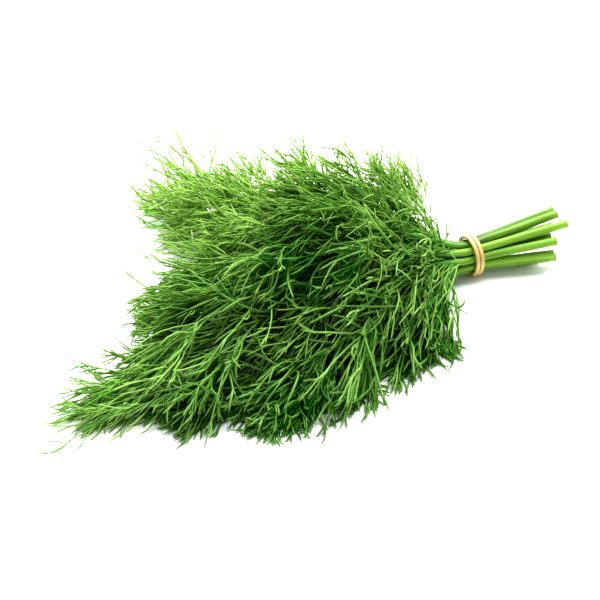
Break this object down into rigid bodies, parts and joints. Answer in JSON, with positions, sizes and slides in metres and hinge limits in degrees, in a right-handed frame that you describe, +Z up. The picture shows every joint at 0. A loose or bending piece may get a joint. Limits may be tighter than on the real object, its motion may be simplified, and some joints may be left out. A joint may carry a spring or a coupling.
{
  "type": "bunch of fresh dill",
  "caption": "Bunch of fresh dill lying down: bare stems held by a rubber band, with feathery fronds of fine leaf threads fanning out from the tie.",
  "frame": {"origin": "on the surface that the bunch lies on, at the rubber band's flat spot under the tie", "axes": "+X along the bunch towards the cut ends, so the leaves fan out towards -X; +Z up from the surface; +Y to the far side"},
  "size_m": [0.2838, 0.2317, 0.0618],
  "materials": {
    "dill_green": "living plant tissue: smooth bright green stems and darker feathery green threads with a soft waxy sheen",
    "rubber": "natural tan rubber with a dull sheen"
  },
  "bodies": {
    "root": {"rubber_band": "rubber", "leafy_stem_01": "dill_green", "leafy_stem_02": "dill_green", "leafy_stem_03": "dill_green", "leafy_stem_04": "dill_green", "leafy_stem_05": "dill_green", "leafy_stem_06": "dill_green", "leafy_stem_07": "dill_green", "leafy_stem_08": "dill_green", "leafy_stem_09": "dill_green", "leafy_stem_10": "dill_green", "leafy_stem_11": "dill_green", "leafy_stem_12": "dill_green", "leafy_stem_13": "dill_green"}
  },
  "joints": []
}
